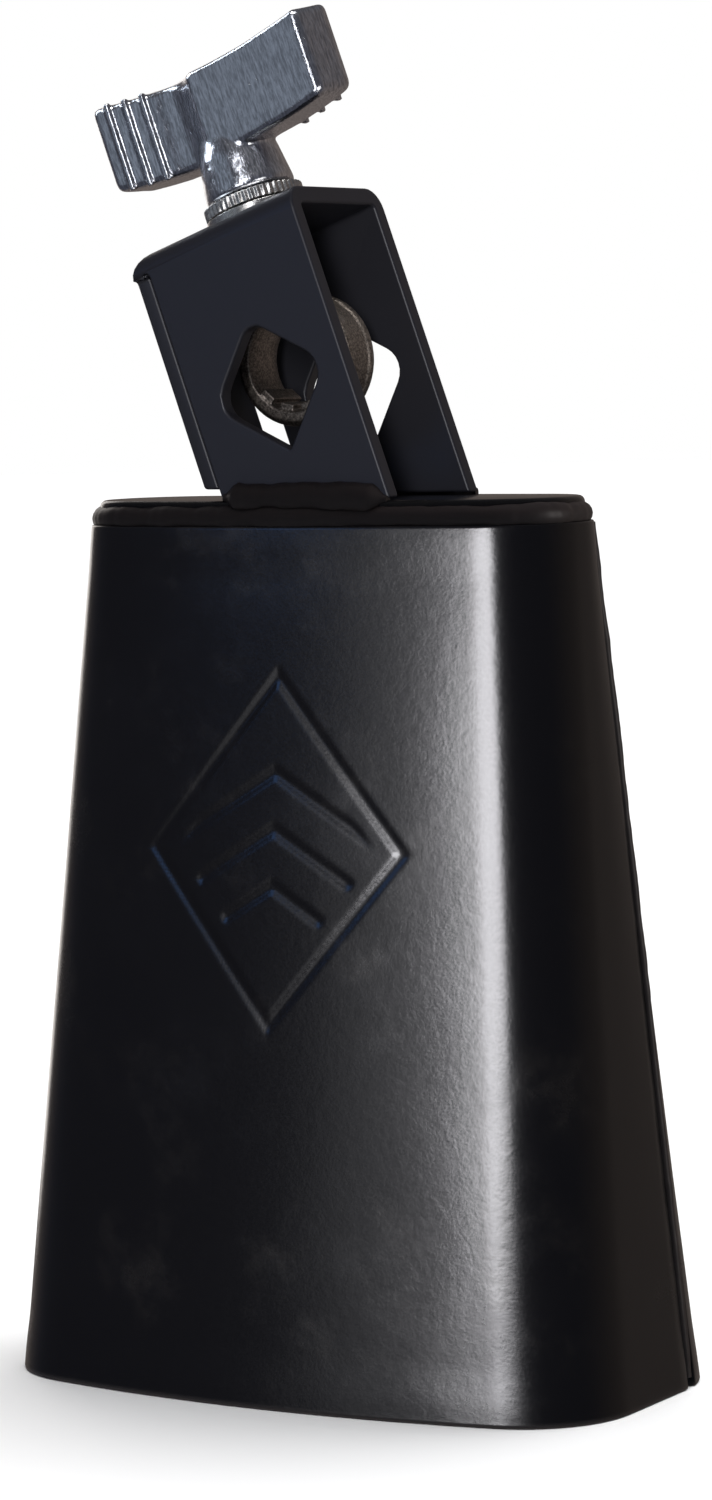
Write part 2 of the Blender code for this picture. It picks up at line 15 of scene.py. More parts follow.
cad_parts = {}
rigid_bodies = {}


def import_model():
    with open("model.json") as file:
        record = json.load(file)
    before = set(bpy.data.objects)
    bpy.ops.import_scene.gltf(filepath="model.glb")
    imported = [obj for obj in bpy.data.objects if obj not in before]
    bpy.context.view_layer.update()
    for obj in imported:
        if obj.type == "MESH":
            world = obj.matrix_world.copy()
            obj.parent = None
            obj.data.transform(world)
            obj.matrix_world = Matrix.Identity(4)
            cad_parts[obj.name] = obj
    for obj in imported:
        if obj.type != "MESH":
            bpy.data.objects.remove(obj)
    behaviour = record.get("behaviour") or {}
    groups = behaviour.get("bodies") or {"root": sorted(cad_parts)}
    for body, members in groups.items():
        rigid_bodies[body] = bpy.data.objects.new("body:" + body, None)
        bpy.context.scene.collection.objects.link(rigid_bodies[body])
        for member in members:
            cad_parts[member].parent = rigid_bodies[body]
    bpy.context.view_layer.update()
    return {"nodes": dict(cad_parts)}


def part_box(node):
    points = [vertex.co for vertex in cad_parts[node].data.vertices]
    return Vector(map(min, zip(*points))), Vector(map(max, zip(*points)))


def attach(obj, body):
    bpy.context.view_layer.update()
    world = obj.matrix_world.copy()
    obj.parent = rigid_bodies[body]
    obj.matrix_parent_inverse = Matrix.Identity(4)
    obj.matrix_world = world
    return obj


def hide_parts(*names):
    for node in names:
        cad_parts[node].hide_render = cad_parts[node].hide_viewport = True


bl_info = {
    "name": "Cowbell",
    "version": (1, 0, 0),
    "blender": (4, 5, 0),
    "location": "View3D > Sidebar > Cowbell",
    "description": "Builds a black steel cowbell with its rod clamp",
    "category": "Object",
}

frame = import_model()
MM = 0.001

# The bell's section at the mouth and at the lid: half width, half depth, crown, corner, seam
MOUTH = (49.3 * MM, 27.95 * MM, 6.5 * MM, 15.8 * MM, 10.3 * MM)
TOP = (39.15 * MM, 15.0 * MM, 4.2 * MM, 12.0 * MM, 6.7 * MM)
BELL_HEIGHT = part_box("end_cap")[1].z
WALL_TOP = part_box("front_shell")[1].z
SHEET = 1.5 * MM
SEAM_GAP = 1.1 * MM

# The pressed lozenge and the three chevrons inside it
LOZENGE_HALF_WIDTH = 20.5 * MM
LOZENGE_HALF_HEIGHT = 24.5 * MM
CHEVRON_STEP = 8.0 * MM
CHEVRON_DROP = 3.0 * MM
CHEVRON_SLOPE = 0.6
CHEVRON_SQUARE = 0.86  # from a rise to a distance square to the slope

# The weld beads, and how far inside the wall's outer face the middle of a bead lies
LID_BEAD_RADIUS = 1.92 * MM
LID_BEAD_INSET = 1.8 * MM
LID_BEAD_LEVEL = WALL_TOP + 0.95 * MM
SEAM_BEAD_RADIUS = 0.86 * MM
SEAM_BEAD_INSET = 0.75 * MM
FOOT_BEAD_RADIUS = 2.4 * MM
SWELL_LENGTH = 6.0 * MM
WANDER_LENGTH = 5.0 * MM

# The clamp's own frame: x across its legs, y from front to rear, z along the lean
LEAN = math.radians(19.7)
CLAMP = Matrix.Translation((2.3 * MM, 0.0, BELL_HEIGHT)) @ Matrix.Rotation(-LEAN, 4, "Y")
LEG_FACE = 12.7 * MM
SHANK_RADIUS = 3.175 * MM
EYE_CENTRE = 21.0 * MM
THREAD_START = EYE_CENTRE + 12.0 * MM
THREAD_END = EYE_CENTRE + 35.8 * MM

# The castings: how fine their skins are, and the stretch of the wings whose edges stay sharper
EYE_VOXEL = 0.17 * MM
WINGS_VOXEL = 0.19 * MM
WINGS_CRISP = (10.4 * MM, 18.1 * MM)

# The room, as the pieces reflect it: before them, behind them and overhead
ROOM_FRONT = (0.075, 0.08, 0.1)
ROOM_BEHIND = (0.19, 0.16, 0.145)
ROOM_OVER = (0.13, 0.13, 0.14)

# The camera's place, how far it is turned to the right, raised and rolled, and its lens and shift
CAMERA_PLACE = (0.35138, -0.58221, 0.14607)
CAMERA_TURN = math.radians(31.11)
CAMERA_RISE = math.radians(4.27)
CAMERA_ROLL = math.radians(-1.31)
CAMERA_LENS = 113.6
CAMERA_SHIFT = (0.00867, -0.0216)


def size(name, text, value, low, high):
    return FloatProperty(name=name, description=text, default=value, min=low, max=high, subtype="DISTANCE",
                         unit="LENGTH", precision=5)


def share(name, text, value):
    return FloatProperty(name=name, description=text, default=value, min=0.0, max=1.0, subtype="FACTOR")


def colour(name, text, value):
    return FloatVectorProperty(name=name, description=text, default=value, min=0.0, max=1.0, subtype="COLOR")


class ShellSettings(bpy.types.PropertyGroup):
    """Sizes and colours of the bell's walls and lid."""

    coat: colour("Coat", "Colour of the powder coat", (0.0016, 0.0015, 0.0019))
    coat_roughness: share("Roughness", "How dull the powder coat is", 0.215)
    wave: size("Wave", "How far the pressed sheet wanders from true", 0.00011, 0.0, 0.001)
    wave_length: size("Wave length", "Length of one wave of the sheet", 0.034, 0.005, 0.1)
    motif_depth: size("Motif depth", "How deep the plain lozenge is pressed", 0.00018, 0.0, 0.001)
    motif_line: size("Motif line", "Width of a pressed line", 0.0015, 0.0005, 0.004)
    motif_height: size("Motif height", "Height of the lozenge's centre over the mouth", 0.078, 0.04, 0.1)
    rim_round: size("Rim rounding", "Rounding of the sheet's edges", 0.0003, 0.0, 0.0007)


class WeldSettings(bpy.types.PropertyGroup):
    """Sizes of the weld beads."""

    coat: colour("Coat", "Colour of the coat over the weld", (0.0015, 0.0014, 0.0016))
    ripple_pitch: size("Ripple pitch", "Distance between two ripples of a bead", 0.0021, 0.0005, 0.01)
    ripple: share("Ripple", "How much a ripple swells the bead", 0.008)
    lump: size("Lump", "How far the bead wanders from its path", 0.00045, 0.0, 0.002)
    seed: IntProperty(name="Seed", description="Picks another run of lumps", default=4, min=0)


class ClampSettings(bpy.types.PropertyGroup):
    """Sizes and colours of the bracket, eye bolt, washers and wing nut."""

    bracket_coat: colour("Bracket coat", "Colour of the bracket's coat", (0.0017, 0.0019, 0.0028))
    bracket_round: size("Bracket rounding", "Rounding of the strap's edges", 0.00042, 0.0, 0.001)
    cast: colour("Cast metal", "Colour of the eye's casting", (0.36, 0.31, 0.27))
    chrome: colour("Chrome", "Colour of the wing nut's plate", (0.74, 0.76, 0.82))
    plate: colour("Washer plate", "Colour of the washers' plating", (0.62, 0.61, 0.6))
    thread_pitch: size("Thread pitch", "Pitch of the shank's thread", 0.00127, 0.0005, 0.003)
    thread_depth: size("Thread depth", "How far the thread stands from the shank's core", 0.0003, 0.0, 0.001)


class StageSettings(bpy.types.PropertyGroup):
    """The floor and the lights."""

    floor: colour("Floor", "Colour of the floor", (0.92, 0.92, 0.92))
    key: FloatProperty(name="Key", description="Radiance of the walls' main light", default=29.0, min=0.0)
    clamp_key: FloatProperty(name="Clamp key", description="Radiance of the clamp's front light", default=6.0,
                             min=0.0)
    sky: FloatProperty(name="Sky", description="Light that falls from overhead", default=4.1, min=0.0)


class Wire:
    """An output socket. A sum of wires and numbers adds the Math nodes that work it out."""

    def __init__(self, graph, socket):
        self.graph = graph
        self.socket = socket

    def output(self, name):
        """Another output of the same node."""
        return Wire(self.graph, self.socket.node.outputs[name])

    def maths(self, operation, *terms):
        return self.graph.node("ShaderNodeMath", {"operation": operation}, dict(enumerate(terms)))

    def __add__(self, term):
        return self.maths("ADD", self, term)

    def __radd__(self, term):
        return self.maths("ADD", term, self)

    def __sub__(self, term):
        return self.maths("SUBTRACT", self, term)

    def __rsub__(self, term):
        return self.maths("SUBTRACT", term, self)

    def __mul__(self, term):
        return self.maths("MULTIPLY", self, term)

    def __rmul__(self, term):
        return self.maths("MULTIPLY", term, self)

    def __truediv__(self, term):
        return self.maths("DIVIDE", self, term)

    def __rtruediv__(self, term):
        return self.maths("DIVIDE", term, self)

    def __abs__(self):
        return self.maths("ABSOLUTE", self)

    def most(self, term):
        return self.maths("MAXIMUM", self, term)

    def sine(self):
        return self.maths("SINE", self)

    def fade(self, start, end, low=0.0, high=1.0):
        """low at start and high at end, with a smooth step between."""
        ends = {"From Min": start, "From Max": end, "To Min": low, "To Max": high}
        return self.graph.node("ShaderNodeMapRange", {"interpolation_type": "SMOOTHSTEP"}, {"Value": self, **ends})


class Graph:
    """A node tree, of a material or of geometry, that is being built."""

    def __init__(self, tree):
        self.tree = tree

    def node(self, kind, settings=None, sockets=None, output=0):
        """Adds a node. Its settings are set first, and then each socket gets a wire or a value."""
        made = self.tree.nodes.new(kind)
        for name, value in (settings or {}).items():
            setattr(made, name, value)
        for key, value in (sockets or {}).items():
            if isinstance(value, Wire):
                self.tree.links.new(value.socket, made.inputs[key])
            else:
                made.inputs[key].default_value = value
        return Wire(self, made.outputs[output])

    def mix(self, factor, first, second):
        """A colour between two colours."""
        ends = {0: factor, 6: first, 7: second}
        return self.node("ShaderNodeMix", {"data_type": "RGBA"}, ends, output=2)

    def noise(self, place, length, detail=2.0, roughness=0.5):
        """Noise whose lumps are about that long."""
        sockets = {"Vector": place, "Scale": 1.0 / length, "Detail": detail, "Roughness": roughness}
        return self.node("ShaderNodeTexNoise", {}, sockets)

    def cells(self, place, length):
        """The distance to the nearest of some scattered points that are about that far apart."""
        return self.node("ShaderNodeTexVoronoi", {}, {"Vector": place, "Scale": 1.0 / length, "Randomness": 1.0})

    def split(self, vector):
        return self.node("ShaderNodeSeparateXYZ", {}, {"Vector": vector})


def finish(name, build):
    """A procedural material. build gets the graph and the object's own coordinates, and gives wires or values for
    the shader's sockets.
    """
    made = bpy.data.materials.get(name)
    if made:
        return made
    made = bpy.data.materials.new(name)
    made.use_nodes = True
    graph = Graph(made.node_tree)
    shader = made.node_tree.nodes["Principled BSDF"]
    place = graph.node("ShaderNodeTexCoord", {}, {}, output="Object")
    for key, value in build(graph, place).items():
        if isinstance(value, Wire):
            made.node_tree.links.new(value.socket, shader.inputs[key])
        else:
            shader.inputs[key].default_value = value
    return made


def tone(paint, factor=1.0):
    """A colour for a socket, made darker or lighter by the factor."""
    return (*[part * factor for part in paint], 1.0)


def bumps(graph, *layers):
    """A Normal wire from (height wire, how far it rises in metres) layers."""
    height = None
    for wire, rise in layers:
        layer = wire * (rise * 1000.0)
        height = layer if height is None else height + layer
    return graph.node("ShaderNodeBump", {}, {"Strength": 1.0, "Distance": 0.001, "Height": height})


def powder_coat():
    looks = bpy.context.scene.cowbell_shell

    def build(graph, place):
        grain = graph.noise(place, 0.42 * MM, 3.0, 0.6)
        peel = graph.noise(place, 1.6 * MM, 2.0, 0.5)
        cloud = graph.noise(place, 24 * MM, 4.0, 0.6)
        high = graph.split(place).output("Z")
        smudge = graph.noise(place, 13 * MM, 5.0, 0.7).fade(0.5, 0.74) * cloud.fade(0.4, 0.6)
        handled = cloud.fade(0.5, 0.72) * 0.05 + smudge * 0.06
        dust = graph.cells(place, 5.2 * MM)
        speck = dust.fade(0.012, 0.03, 1.0, 0.0) * graph.noise(place, 11 * MM).fade(0.58, 0.66)
        rim = high.fade(0.0, 0.9 * MM, 0.35, 0.0)
        base = graph.mix(cloud, tone(looks.coat, 0.86), tone(looks.coat, 1.2))
        base = graph.mix(smudge, base, (0.0042, 0.0037, 0.0036, 1.0))
        base = graph.mix(speck * 0.5, base, (0.11, 0.1, 0.1, 1.0))
        base = graph.mix(rim, base, (0.035, 0.031, 0.03, 1.0))
        rough = grain * 0.1 + handled + (looks.coat_roughness - 0.06)
        normal = bumps(graph, (grain, 0.011 * MM), (peel, 0.017 * MM))
        return {"Base Color": base, "Roughness": rough, "Normal": normal, "IOR": 1.4}

    return finish("powder_coat", build)


def weld_coat():
    looks = bpy.context.scene.cowbell_weld

    def build(graph, place):
        grain = graph.noise(place, 0.5 * MM, 3.0, 0.6)
        pool = graph.noise(place, 2.6 * MM, 3.0, 0.55)
        base = graph.mix(pool, tone(looks.coat, 0.8), tone(looks.coat, 1.5))
        rough = pool.fade(0.35, 0.7, 0.09, 0.22) + grain * 0.04
        normal = bumps(graph, (grain, 0.002 * MM), (pool, 0.025 * MM))
        return {"Base Color": base, "Roughness": rough, "Normal": normal, "IOR": 1.38}

    return finish("weld_coat", build)


def bracket_coat():
    looks = bpy.context.scene.cowbell_clamp

    def build(graph, place):
        grain = graph.noise(place, 0.3 * MM, 2.0, 0.6)
        cloud = graph.noise(place, 9 * MM, 4.0, 0.65)
        dust = graph.cells(place, 2.6 * MM)
        speck = dust.fade(0.12, 0.2, 1.0, 0.0) * graph.noise(place, 5 * MM, 3.0).fade(0.42, 0.56)
        scuff = graph.node("ShaderNodeMapping", {},
                           {"Vector": place, "Rotation": (0.0, 0.35, 0.0), "Scale": (1, 1, 9)})
        line = graph.noise(scuff, 4 * MM, 3.0, 0.7).fade(0.66, 0.74) * cloud.fade(0.5, 0.62)
        base = graph.mix(cloud, tone(looks.bracket_coat, 0.85), tone(looks.bracket_coat, 1.3))
        base = graph.mix(speck, base, (0.75, 0.77, 0.82, 1.0))
        base = graph.mix(line * 0.1, base, (0.1, 0.1, 0.12, 1.0))
        rough = grain * 0.06 + cloud * 0.06 + line * 0.1 + 0.12
        normal = bumps(graph, (grain, 0.003 * MM), (cloud, 0.04 * MM), (speck, 0.02 * MM))
        return {"Base Color": base, "Roughness": rough, "Normal": normal, "IOR": 1.4}

    return finish("bracket_coat", build)


def cast_metal():
    looks = bpy.context.scene.cowbell_clamp

    def build(graph, place):
        grain = graph.noise(place, 0.34 * MM, 4.0, 0.65)
        blotch = graph.noise(place, 3.2 * MM, 3.0, 0.6)
        base = graph.mix(grain.fade(0.3, 0.75), tone(looks.cast, 0.22), tone(looks.cast, 1.15))
        base = graph.mix(blotch.fade(0.55, 0.8) * 0.4, base, (0.5, 0.46, 0.42, 1.0))
        rough = grain * 0.2 + blotch * 0.12 + 0.26
        normal = bumps(graph, (grain, 0.05 * MM), (blotch, 0.05 * MM))
        return {"Base Color": base, "Roughness": rough, "Metallic": 0.92, "Normal": normal}

    return finish("cast_metal", build)


def chrome_plate():
    looks = bpy.context.scene.cowbell_clamp

    def build(graph, place):
        turned = graph.node("ShaderNodeMapping", {}, {"Vector": place, "Rotation": (0.0, LEAN, 0.0)})
        stretched = graph.node("ShaderNodeMapping", {}, {"Vector": turned, "Scale": (1.0, 1.0, 0.16)})
        brush = graph.noise(stretched, 0.3 * MM, 3.0, 0.7)
        ripple = graph.noise(place, 2.4 * MM, 2.0, 0.5)
        pit = graph.cells(place, 1.3 * MM)
        pits = pit.fade(0.04, 0.1, 1.0, 0.0) * ripple.fade(0.5, 0.62)
        base = graph.mix(brush.fade(0.3, 0.7), tone(looks.chrome, 0.5), tone(looks.chrome))
        base = graph.mix(pits * 0.5, base, (0.2, 0.2, 0.22, 1.0))
        rough = brush * 0.12 + ripple * 0.05 + 0.07
        normal = bumps(graph, (brush, 0.04 * MM), (ripple, 0.09 * MM), (pits, -0.03 * MM))
        return {"Base Color": base, "Roughness": rough, "Metallic": 1.0, "Normal": normal}

    return finish("chrome_plate", build)


def washer_plate():
    looks = bpy.context.scene.cowbell_clamp

    def build(graph, place):
        scratch = graph.noise(place, 0.4 * MM, 4.0, 0.7)
        stain = graph.noise(place, 2.2 * MM, 3.0, 0.6)
        base = graph.mix(scratch.fade(0.3, 0.7), tone(looks.plate, 0.7), tone(looks.plate))
        base = graph.mix(stain.fade(0.56, 0.75) * 0.5, base, (0.25, 0.22, 0.19, 1.0))
        rough = scratch * 0.16 + stain * 0.12 + 0.12
        normal = bumps(graph, (scratch, 0.012 * MM), (stain, 0.03 * MM))
        return {"Base Color": base, "Roughness": rough, "Metallic": 1.0, "Normal": normal}

    return finish("washer_plate", build)


def geometry_tree(name, sizes):
    """A geometry node tree with a Geometry input, then a named input for each size."""
    tree = bpy.data.node_groups.new(name, "GeometryNodeTree")
    tree.interface.new_socket("Geometry", in_out="INPUT", socket_type="NodeSocketGeometry")
    tree.interface.new_socket("Geometry", in_out="OUTPUT", socket_type="NodeSocketGeometry")
    for label, value in sizes.items():
        kind = "NodeSocketInt" if isinstance(value, int) else "NodeSocketFloat"
        if isinstance(value, bpy.types.Material):
            kind = "NodeSocketMaterial"
        tree.interface.new_socket(label, in_out="INPUT", socket_type=kind)
    return Graph(tree)


def grow(name, points, edges, graph, geometry, sizes):
    """Ends the tree, runs it on those points and edges with those sizes, and returns a plain mesh object."""
    tree = graph.tree
    inputs = next(n for n in tree.nodes if n.bl_idname == "NodeGroupInput")
    real = graph.node("GeometryNodeRealizeInstances", {}, {"Geometry": geometry})
    finish_wire = Wire(graph, inputs.outputs["Finish"])
    coated = graph.node("GeometryNodeSetMaterial", {}, {"Geometry": real, "Material": finish_wire})
    out = tree.nodes.new("NodeGroupOutput")
    tree.links.new(coated.socket, out.inputs["Geometry"])
    mesh = bpy.data.meshes.new(name)
    mesh.from_pydata([tuple(p) for p in points], edges, [])
    made = bpy.data.objects.new(name, mesh)
    bpy.context.scene.collection.objects.link(made)
    modifier = made.modifiers.new("Rule", "NODES")
    modifier.node_group = tree
    for socket in tree.interface.items_tree:
        if socket.in_out == "INPUT" and socket.name in sizes:
            modifier[socket.identifier] = sizes[socket.name]
    settle(made)
    return made


def settle(made):
    """Turns an object's modifiers into its mesh."""
    bpy.context.view_layer.update()
    seen = made.evaluated_get(bpy.context.evaluated_depsgraph_get())
    mesh = bpy.data.meshes.new_from_object(seen)
    made.modifiers.clear()
    made.data = mesh
    mesh.name = made.name


def smooth(made, degrees):
    """Smooth shading, kept sharp over edges that turn more than that."""
    mesh = made.data
    mesh.polygons.foreach_set("use_smooth", [True] * len(mesh.polygons))
    mesh.set_sharp_from_angle(angle=math.radians(degrees))


def coat(made, material):
    made.data.materials.clear()
    made.data.materials.append(material)


def hand_over(made, body, slot, *nodes):
    """Lets the piece ride on a body, in place of those parts of the frame."""
    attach(made, body)
    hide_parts(*nodes)


def merged_copy(node, name):
    """The frame's part as an object of its own, with its loose triangles joined into clean faces."""
    bm = bmesh.new()
    bm.from_mesh(frame["nodes"][node].data)
    bmesh.ops.remove_doubles(bm, verts=bm.verts, dist=0.002 * MM)
    bmesh.ops.dissolve_degenerate(bm, edges=bm.edges, dist=0.002 * MM)
    mesh = bpy.data.meshes.new(name)
    bm.to_mesh(mesh)
    bm.free()
    made = bpy.data.objects.new(name, mesh)
    bpy.context.scene.collection.objects.link(made)
    return made


def rounded_copy(node, name, radius, degrees=30.0, segments=3):
    """A copy of a part whose edges are rounded as the real one's are."""
    made = merged_copy(node, name)
    bm = bmesh.new()
    bm.from_mesh(made.data)
    bmesh.ops.dissolve_limit(bm, angle_limit=math.radians(0.4), verts=bm.verts, edges=bm.edges)
    bm.to_mesh(made.data)
    bm.free()
    bevel = made.modifiers.new("Rounding", "BEVEL")
    bevel.width = radius
    bevel.segments = segments
    bevel.limit_method = "ANGLE"
    bevel.angle_limit = math.radians(degrees)
    bevel.use_clamp_overlap = False
    bevel.miter_outer = "MITER_ARC"
    bevel.harden_normals = True
    smooth(made, 32)
    settle(made)
    return made


def cast_copy(node, name, voxel, passes, crisp=(0.0, 0.0)):
    """A copy of a part with the soft edges of a casting. Between the two crisp distances from the clamp's axis
    the edges stay sharper."""
    made = merged_copy(node, name)
    remesh = made.modifiers.new("Skin", "REMESH")
    remesh.mode = "VOXEL"
    remesh.voxel_size = voxel
    settle(made)
    group = made.vertex_groups.new(name="soft")
    inverse = CLAMP.inverted()
    for vertex in made.data.vertices:
        reach = abs((inverse @ vertex.co).x)
        group.add([vertex.index], 0.15 if crisp[0] < reach < crisp[1] else 1.0, "REPLACE")
    soften = made.modifiers.new("Soften", "SMOOTH")
    soften.factor = 0.5
    soften.iterations = passes
    soften.vertex_group = group.name
    settle(made)
    smooth(made, 180)
    return made


def spread(first, last, count):
    return [first + (last - first) * i / (count - 1) for i in range(count)]


class Outline:
    """The bell's outline at one height."""

    def __init__(self, section):
        self.half_width, self.half_depth, crown, self.corner, self.seam = section
        self.radius = (self.half_width**2 + crown**2) / (2 * crown)
        self.centre = self.radius - self.half_depth
        self.corner_x = self.half_width - self.corner
        reach = self.radius - self.corner
        self.side = math.sqrt(reach**2 - self.corner_x**2) - self.centre
        self.turn = math.asin(self.corner_x / reach)

    def face(self, angle, inset):
        reach = self.radius - inset
        return reach * math.sin(angle), self.centre - reach * math.cos(angle)

    def bend(self, angle, inset):
        reach = self.corner - inset
        return self.corner_x + reach * math.sin(angle), -self.side - reach * math.cos(angle)

    def seam_place(self):
        if self.seam <= self.side:
            return self.side + self.seam
        return 2 * self.side + self.corner * math.asin((self.seam - self.side) / self.corner)

    def side_point(self, length, inset):
        if length <= 2 * self.side:
            return self.half_width - inset, length - self.side
        x, y = self.bend(math.pi / 2 - (length - 2 * self.side) / self.corner, inset)
        return x, -y

    def front(self, inset, trim, fine=50, face=10, corner=20, side=8):
        """Points from the left seam round the front to the right seam, finer over the pressed lines."""
        middle = self.turn * 0.68
        points = [self.face(a, inset) for a in spread(0, middle, fine) + spread(middle, self.turn, face)[1:]]
        points += [self.bend(a, inset) for a in spread(self.turn, math.pi / 2, corner)][1:]
        points += [self.side_point(s, inset) for s in spread(0, self.seam_place() - trim, side)][1:]
        return [(-x, y) for x, y in points[:0:-1]] + points

    def rear(self, inset, trim, side=30, face=20):
        """Points from the right seam round the rear to the left seam."""
        end = 2 * self.side + self.corner * (math.pi / 2 - self.turn)
        points = [self.side_point(s, inset) for s in spread(self.seam_place() + trim, end, side)]
        points += [(x, -y) for x, y in (self.face(a, inset) for a in spread(self.turn, 0, face))][1:]
        return points + [(-x, y) for x, y in points[-2::-1]]


def pressed_lozenge(graph, inputs, x, z):
    """How deep the lozenge's ring and its chevrons are pressed at each point of the front."""
    line = inputs.output("Motif line")
    up = z - inputs.output("Motif height")
    across = abs(x)

    def stroke(distance):
        return abs(distance).fade(line * 0.22, line * 0.62, 1.0, 0.0)

    slant = 1.0 / math.hypot(1.0 / LOZENGE_HALF_WIDTH, 1.0 / LOZENGE_HALF_HEIGHT)
    outer = (across / LOZENGE_HALF_WIDTH + abs(up) / LOZENGE_HALF_HEIGHT - 1.0) * slant
    inside = outer.fade(-3.6 * MM, -2.8 * MM, 1.0, 0.0)
    bars = None
    for level in (-CHEVRON_STEP, 0.0, CHEVRON_STEP):
        bar = stroke((up - level + across * CHEVRON_SLOPE - CHEVRON_DROP) * CHEVRON_SQUARE)
        bars = bar if bars is None else bars.most(bar)
    facing = graph.split(graph.node("GeometryNodeInputNormal")).output("Y").fade(-0.4, -0.8)
    return stroke(outer).most(bars * inside) * inputs.output("Motif depth") * facing


def lofted_wall(name, lower, upper, rows, motif, sizes):
    """A Geometry Nodes loft between the outline at the mouth and the outline at the wall's top, with the waves
    of pressed sheet and, on the front, the pressed lozenge."""
    graph = geometry_tree(name + "_loft", sizes)
    inputs = graph.node("NodeGroupInput")
    columns = len(lower)
    rails = inputs.output("Geometry")
    grid = graph.node("GeometryNodeMeshGrid", {},
                      {"Size X": 1.0, "Size Y": 1.0, "Vertices X": columns, "Vertices Y": rows})
    index = graph.node("GeometryNodeInputIndex")
    column = index.maths("FLOOR", (index + 0.5) / float(rows))
    row = (index - column * float(rows)) / float(rows - 1)
    place = graph.node("GeometryNodeInputPosition")
    foot, head = (graph.node("GeometryNodeSampleIndex", {"data_type": "FLOAT_VECTOR"},
                             {"Geometry": rails, "Value": place, "Index": point})
                  for point in (column, column + columns))
    wall = graph.node("ShaderNodeMix", {"data_type": "VECTOR"}, {0: row, 4: foot, 5: head}, output=1)
    lofted = graph.node("GeometryNodeSetPosition", {}, {"Geometry": grid, "Position": wall})
    x = graph.split(place)
    z = x.output("Z")
    length, wave = inputs.output("Wave length"), inputs.output("Wave")
    slow = graph.node("ShaderNodeTexNoise", {}, {"Vector": place, "Scale": 1.0 / length, "Detail": 1.0})
    calm = z.fade(2 * MM, 9 * MM) * z.fade(BELL_HEIGHT - 12 * MM, WALL_TOP - 1 * MM, 1.0, 0.0)
    rise = (slow - 0.5) * wave * calm * 2.0 - wave * 1.2 * calm
    if motif:
        rise = rise - pressed_lozenge(graph, inputs, x, z)
    normal = graph.node("GeometryNodeInputNormal")
    push = graph.node("ShaderNodeVectorMath", {"operation": "SCALE"}, {"Vector": normal, "Scale": rise})
    pressed = graph.node("GeometryNodeSetPosition", {}, {"Geometry": lofted, "Offset": push})
    points = [(px, py, 0.0) for px, py in lower] + [(px, py, WALL_TOP) for px, py in upper]
    made = grow(name, points, [], graph, pressed, sizes)
    bm = bmesh.new()
    bm.from_mesh(made.data)
    bm.faces.ensure_lookup_table()
    face = bm.faces[len(bm.faces) // 2]
    middle = face.calc_center_median()
    if face.normal.dot(Vector((middle.x, middle.y, 0.0))) < 0:
        bmesh.ops.reverse_faces(bm, faces=bm.faces)
    bm.to_mesh(made.data)
    bm.free()
    return made


def between(section, other, share_up):
    return tuple(a + (b - a) * share_up for a, b in zip(section, other))


def shell_sizes():
    looks = bpy.context.scene.cowbell_shell
    return {"Wave": looks.wave, "Wave length": looks.wave_length, "Motif depth": looks.motif_depth,
            "Motif line": looks.motif_line, "Motif height": looks.motif_height, "Finish": powder_coat()}


def thicken(made, rounding):
    """Gives a wall its sheet thickness, inwards, and rounds its edges."""
    wall = made.modifiers.new("Sheet", "SOLIDIFY")
    wall.thickness = SHEET
    wall.offset = -1.0
    edge = made.modifiers.new("Rim", "BEVEL")
    edge.width = rounding
    edge.segments = 2
    edge.limit_method = "ANGLE"
    edge.angle_limit = math.radians(60)
    settle(made)
    for vertex in made.data.vertices:
        vertex.co.z = min(max(vertex.co.z, 0.0), WALL_TOP)
    smooth(made, 50)


def half_shell(name, course, rows, motif, node):
    """One half of the bell. course is the side of an outline that it follows."""
    lower, upper = (course(Outline(between(MOUTH, TOP, z / BELL_HEIGHT)), 0.0, SEAM_GAP) for z in (0.0, WALL_TOP))
    made = lofted_wall(name, lower, upper, rows, motif, shell_sizes())
    thicken(made, bpy.context.scene.cowbell_shell.rim_round)
    hand_over(made, "bell", "shell_coat", node)


class COWBELL_OT_front_wall(bpy.types.Operator):
    """Builds the front half shell, from seam to seam, with its pressed lozenge"""

    bl_idname = "cowbell.front_wall"
    bl_label = "Front wall"

    def execute(self, context):
        half_shell("front_wall", Outline.front, 240, True, "front_shell")
        return {"FINISHED"}


class COWBELL_OT_rear_wall(bpy.types.Operator):
    """Builds the rear half shell, from seam to seam"""

    bl_idname = "cowbell.rear_wall"
    bl_label = "Rear wall"

    def execute(self, context):
        half_shell("rear_wall", Outline.rear, 60, False, "rear_shell")
        return {"FINISHED"}


class COWBELL_OT_lid(bpy.types.Operator):
    """Builds the lid that closes the top of the bell"""

    bl_idname = "cowbell.lid"
    bl_label = "Lid"

    def execute(self, context):
        made = rounded_copy("end_cap", "lid", 0.2 * MM)
        coat(made, powder_coat())
        hand_over(made, "bell", "shell_coat", "end_cap")
        return {"FINISHED"}


